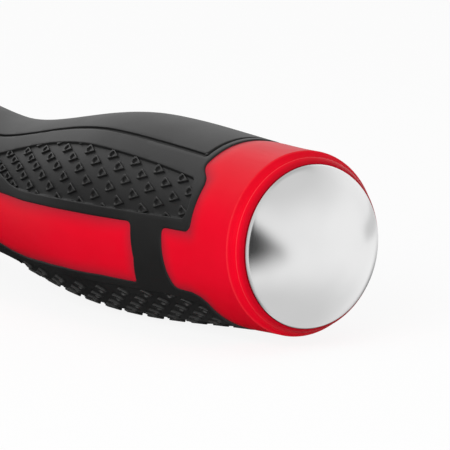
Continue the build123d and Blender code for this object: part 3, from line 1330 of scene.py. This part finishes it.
@dataclass
class Blade:
    """The forged blade, with its ground finish."""

    node: str = "blade"

    def dress(self, finish: bpy.types.Material) -> None:
        """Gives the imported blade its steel.

        Args:
            finish: the blade's material.
        """
        blade = frame["nodes"][self.node]
        blade.data.materials.clear()
        blade.data.materials.append(finish)
        log.info("%s: packed shape, ground steel", self.node)


@dataclass(frozen=True)
class Softbox:
    """A square lamp that lights without showing in gloss. Lengths in metres, power in watts."""

    name: str
    place: Triple
    size: float
    power: float
    target: Triple = (0.08, 0.0, 0.02)

    def hang(self) -> None:
        """Adds the lamp to the scene, turned to its target."""
        data = bpy.data.lights.new(self.name, "AREA")
        data.size, data.energy = self.size, self.power
        lamp = bpy.data.objects.new(self.name, data)
        lamp.location, lamp.visible_glossy = self.place, False
        way = Vector(self.target) - Vector(self.place)
        lamp.rotation_euler = way.to_track_quat("-Z", "Y").to_euler()
        bpy.context.scene.collection.objects.link(lamp)


@dataclass(frozen=True)
class Zone:
    """A part of the tent that takes a share of its light away, or adds it where the share is negative.

    Each fade is a direction's name, its value where the zone begins and its value where it is full.
    """

    share: float
    fades: tuple[tuple[str, float, float], ...]

    def taken(self, recipe: Recipe, way: dict[str, Wire]) -> Wire:
        """The share of light that the zone takes, where way holds the directions by their names."""
        fades = (recipe.between(way[name], begin, full) for name, begin, full in self.fades)
        return math.prod(fades) * self.share


# Zones of the tent in groups, each group taking its share of what the others leave. Directions run from
# -1 to 1: x to the butt, y to the far side and z up, rise is z squared, and over and under are the sines
# of the angles over the wedge's two borders.
WEDGE = (("over", 0.1, -0.16), ("under", -0.33, 0.2), ("x", 0.2, 0.42))
TENT_ZONES = {
    "edge": (Zone(0.26, (("x", 0.3, 0.12), ("x", -0.6, -0.3), ("y", 0.62, 0.5), ("z", -0.85, -0.6))),),
    "wedge": (Zone(0.7, (*WEDGE, ("y", -0.15, -0.42))), Zone(0.27, (*WEDGE, ("y", -0.45, -0.8)))),
    "beside": (Zone(0.98, (("y", -0.05, -0.42), ("x", 0.1, -0.4), ("z", 0.66, 0.16))),),
    "below": (Zone(0.98, (("x", -0.3, -0.6), ("z", -0.05, -0.3))),),
    "far": (
        Zone(0.28, (("rise", 0.02, 0.75),)),
        Zone(0.32, (("z", -0.13, -0.06), ("z", 0.08, 0.01), ("x", 0.3, 0.0), ("y", 0.5, 0.7))),
    ),
    "sky": (
        Zone(-1.4, (("x", -0.35, -0.7), ("z", 0.2, 0.6))),
        Zone(-0.3, (("x", 0.35, 0.1), ("y", -0.15, -0.4), ("z", 0.5, 0.72))),
    ),
}


@dataclass
class Studio:
    """Pale floor, soft light and the camera. Lengths in metres, angles in degrees."""

    camera_place: Triple = (0.84373, -0.53569, 0.15340)
    camera_axes: tuple[Triple, ...] = (
        (0.591305, 0.806448, 0.0),
        (-0.117862, 0.086419, 0.989263),
        (0.797789, -0.584956, 0.146148),
    )
    lens: float = 400.0
    sensor: float = 36.0
    clip: Pair = (0.01, 50.0)
    floor_half: float = 8.0
    pale: float = 0.95
    bounce: float = 0.75
    glow: float = 1.03
    glow_share: float = 0.86
    ambient: float = 0.42
    tent_radius: float = 3.0
    tent_centre: Triple = (0.11, 0.0, 0.02)
    wedge_over: Pairs = ((-14.0, -5.0), (-51.0, 24.0))
    wedge_under: Pairs = ((-17.0, -5.0), (-57.0, -18.0))
    lamps: tuple[Softbox, ...] = (
        Softbox("top_softbox", (0.05, 0.1, 1.1), 1.1, 1.4),
        Softbox("front_softbox", (0.9, -1.3, 0.55), 1.0, 20.0),
    )

    def build(self) -> None:
        """Sets up the floor, the world, the lamps, the tent and the camera."""
        self.floor()
        self.world()
        for lamp in self.lamps:
            lamp.hang()
        self.tent()
        self.camera()

    def floor(self) -> None:
        """A plain pale floor that stays white to the camera and keeps a soft shadow."""
        Bench.clear()
        bpy.ops.mesh.primitive_grid_add(x_subdivisions=4, y_subdivisions=4, size=2 * self.floor_half)
        floor = bpy.context.object
        floor.name = "floor"
        recipe = Recipe.of_material("pale_floor")
        pale = recipe.node("ShaderNodeBsdfDiffuse", {}, {"Color": (self.pale,) * 3 + (1.0,)})
        matt = recipe.node("ShaderNodeBsdfDiffuse", {}, {"Color": (self.bounce,) * 3 + (1.0,)})
        glow = recipe.node("ShaderNodeEmission", {}, {"Color": (1, 1, 1, 1), "Strength": self.glow})
        seen = recipe.node("ShaderNodeLightPath", {}, {}, "Is Camera Ray")
        white = recipe.node("ShaderNodeMixShader", {}, {0: self.glow_share, 1: pale, 2: glow})
        recipe.close(recipe.node("ShaderNodeMixShader", {}, {0: seen, 1: matt, 2: white}))
        floor.visible_glossy = False
        floor.data.materials.append(recipe.owner)

    def world(self) -> None:
        """Even white surroundings, at full white only where they are seen."""
        recipe = Recipe(bpy.data.worlds.new("studio"))
        bpy.context.scene.world = recipe.owner
        camera = recipe.node("ShaderNodeLightPath", {}, {}, "Is Camera Ray")
        gloss = recipe.node("ShaderNodeLightPath", {}, {}, "Is Glossy Ray")
        strength = camera.most(gloss) * (1.0 - self.ambient) + self.ambient
        sky = recipe.node("ShaderNodeBackground", {}, {"Color": (1, 1, 1, 1), "Strength": strength})
        recipe.close(sky, "ShaderNodeOutputWorld")

    def tent(self) -> None:
        """A light tent that shows only in gloss: bright over the tool, dark low beside its handle."""
        Bench.clear()
        bpy.ops.mesh.primitive_uv_sphere_add(segments=48, ring_count=24, radius=self.tent_radius)
        tent = bpy.context.object
        tent.name = "tent"
        recipe = Recipe.of_material("tent_cloth")
        seen = recipe.node("ShaderNodeTexCoord", {}, {}, "Object")
        way = {axis: part * (1.0 / self.tent_radius) for axis, part in zip("xyz", recipe.split(seen))}
        way["rise"] = way["z"] * way["z"]
        way["over"] = self.side_of(recipe, seen, *self.wedge_over)
        way["under"] = self.side_of(recipe, seen, *self.wedge_under)
        level = math.prod(1 - sum(zone.taken(recipe, way) for zone in zones) for zones in TENT_ZONES.values())
        cloth = recipe.node("ShaderNodeCombineXYZ", {}, {0: level, 1: level, 2: level})
        recipe.surface(
            Base_Color=(0, 0, 0, 1), Specular_IOR_Level=0.0, Emission_Color=cloth, Emission_Strength=1.0
        )
        tent.data.transform(Matrix.Translation(self.tent_centre))
        tent.data.materials.append(recipe.owner)
        tent.visible_camera = tent.visible_diffuse = tent.visible_shadow = tent.visible_transmission = False

    @staticmethod
    def side_of(recipe: Recipe, seen: Wire, first: Pair, second: Pair) -> Wire:
        """How far a direction lies over the great circle through two directions.

        Args:
            recipe: the recipe that the nodes go into.
            seen: the direction, as a place on the tent.
            first: turn and rise of the first direction, in degrees.
            second: turn and rise of the second.

        Returns:
            The sine of the angle over the circle.
        """
        rays = []
        for turn, rise in np.radians((first, second)):
            level = math.cos(rise)
            rays.append(Vector((math.cos(turn) * level, math.sin(turn) * level, math.sin(rise))))
        normal = rays[1].cross(rays[0]).normalized()
        way = recipe.vector_maths("NORMALIZE", seen)
        return recipe.vector_maths("DOT_PRODUCT", way, normal, output="Value")

    def camera(self) -> None:
        """A long lens from the butt end and the near side."""
        data = bpy.data.cameras.new("camera")
        data.lens, data.sensor_width = self.lens, self.sensor
        data.clip_start, data.clip_end = self.clip
        camera = bpy.data.objects.new("camera", data)
        turned = Matrix(self.camera_axes).transposed().to_4x4()
        camera.matrix_world = Matrix.Translation(self.camera_place) @ turned
        bpy.context.scene.collection.objects.link(camera)
        bpy.context.scene.camera = camera


def empty_bench() -> None:
    """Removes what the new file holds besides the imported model."""
    kept = set(frame["nodes"].values()) | set(frame["bodies"].values())
    for spare in [thing for thing in bpy.data.objects if thing not in kept]:
        bpy.data.objects.remove(spare)
    bpy.context.view_layer.update()


def main() -> None:
    """Builds the tool and its studio."""
    logging.basicConfig(level=logging.INFO, format="%(name)s %(message)s")
    empty_bench()
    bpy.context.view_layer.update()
    Studio().build()
    StrikeCap().build(StrikeSteelFinish().make())
    HandleCore().build(RedPlasticFinish().make())
    RubberGrip().build(RubberFinish().make())
    Ferrule().build(GroundSteelFinish("ferrule_steel_turned", stretch=(1.0, 0.04, 0.04)).make())
    Blade().dress(GroundSteelFinish().make())
    bpy.context.scene.view_settings.view_transform = "Standard"
    bpy.context.view_layer.update()


if __name__ == "__main__":
    main()
